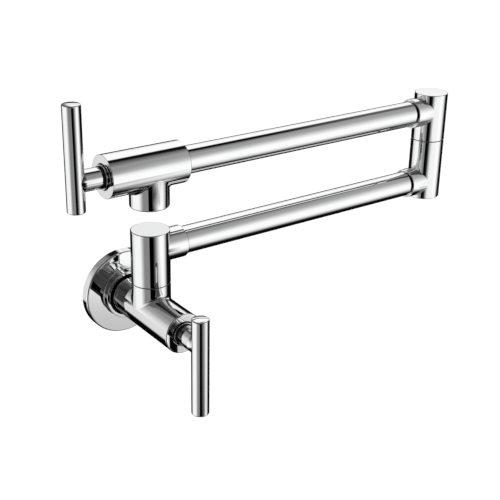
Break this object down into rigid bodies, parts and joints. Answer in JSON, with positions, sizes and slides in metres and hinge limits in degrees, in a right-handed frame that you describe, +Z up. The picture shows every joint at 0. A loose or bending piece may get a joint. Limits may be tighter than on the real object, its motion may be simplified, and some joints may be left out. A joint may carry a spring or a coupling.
{
  "type": "wall mounted pot filler",
  "caption": "Wall mounted pot filler tap with a double-jointed folding swing arm, a shut-off valve at the wall and one at the spout, and bar handles.",
  "frame": {"origin": "centre of the threaded inlet's mouth, on the wall plane", "axes": "+Z up; -Y out of the wall along the wall valve's axis; +X along the folded arms, to the right seen from the front"},
  "size_m": [0.3423, 0.114, 0.2151],
  "materials": {
    "chrome": "polished chrome plate on brass",
    "brass": "machined",
    "steel": "plain stainless",
    "rubber": "black nitrile",
    "foam": "closed-cell foam",
    "ceramic": "lapped ceramic",
    "nylon": "self-lubricating black nylon"
  },
  "bodies": {
    "wall_valve": {"wall_flange": "chrome", "wall_gasket": "foam", "flange_seal": "rubber", "valve_body": "chrome", "wall_seat_washer": "rubber", "wall_fixed_disc": "ceramic", "wall_cartridge_sleeve": "steel", "wall_cartridge_seal": "rubber", "wall_bonnet_ring": "chrome", "riser_pivot": "brass", "riser_pivot_seals": "rubber", "riser_slip_washer": "nylon", "riser_nut_washer": "nylon", "riser_pivot_nut": "brass"},
    "wall_handle": {"wall_turning_disc": "ceramic", "wall_spindle": "brass", "wall_spindle_seal": "rubber", "wall_spindle_clip": "steel", "wall_handle_hub": "chrome", "wall_handle_bar": "chrome", "wall_handle_grub": "steel"},
    "lower_arm": {"riser_sleeve": "chrome", "riser_cap": "chrome", "lower_arm_tube": "chrome", "elbow_lower_post": "chrome", "elbow_bottom_cap": "chrome", "elbow_pivot": "brass", "elbow_pivot_seals": "rubber", "elbow_slip_washer": "nylon", "elbow_nut_washer": "nylon", "elbow_pivot_nut": "brass"},
    "upper_arm": {"elbow_upper_post": "chrome", "elbow_top_cap": "chrome", "upper_arm_tube": "chrome", "spout_body": "chrome", "spout_seat_washer": "rubber", "spout_fixed_disc": "ceramic", "spout_cartridge_sleeve": "steel", "spout_cartridge_seal": "rubber", "spout_bonnet_ring": "chrome", "aerator_housing": "steel", "aerator_screen": "steel", "aerator_washer": "rubber"},
    "spout_handle": {"spout_turning_disc": "ceramic", "spout_spindle": "brass", "spout_spindle_seal": "rubber", "spout_spindle_clip": "steel", "spout_handle_hub": "chrome", "spout_handle_bar": "chrome", "spout_handle_grub": "steel"}
  },
  "joints": [
    {"name": "riser_swivel", "type": "hinge", "parent": "wall_valve", "child": "lower_arm", "pos_m": [0, -0.0443, 0.0484], "axis": [0, 0, 1], "range_deg": [-180, 0]},
    {"name": "elbow_swivel", "type": "hinge", "parent": "lower_arm", "child": "upper_arm", "pos_m": [0.267, -0.0443, 0.0846], "axis": [0, 0, 1], "continuous": true},
    {"name": "wall_handle_turn", "type": "hinge", "parent": "wall_valve", "child": "wall_handle", "pos_m": [0, -0.0875, 0], "axis": [0, -1, 0], "range_deg": [0, 90]},
    {"name": "spout_handle_turn", "type": "hinge", "parent": "upper_arm", "child": "spout_handle", "pos_m": [-0.0354, -0.0443, 0.1084], "axis": [1, 0, 0], "range_deg": [0, 90]}
  ]
}
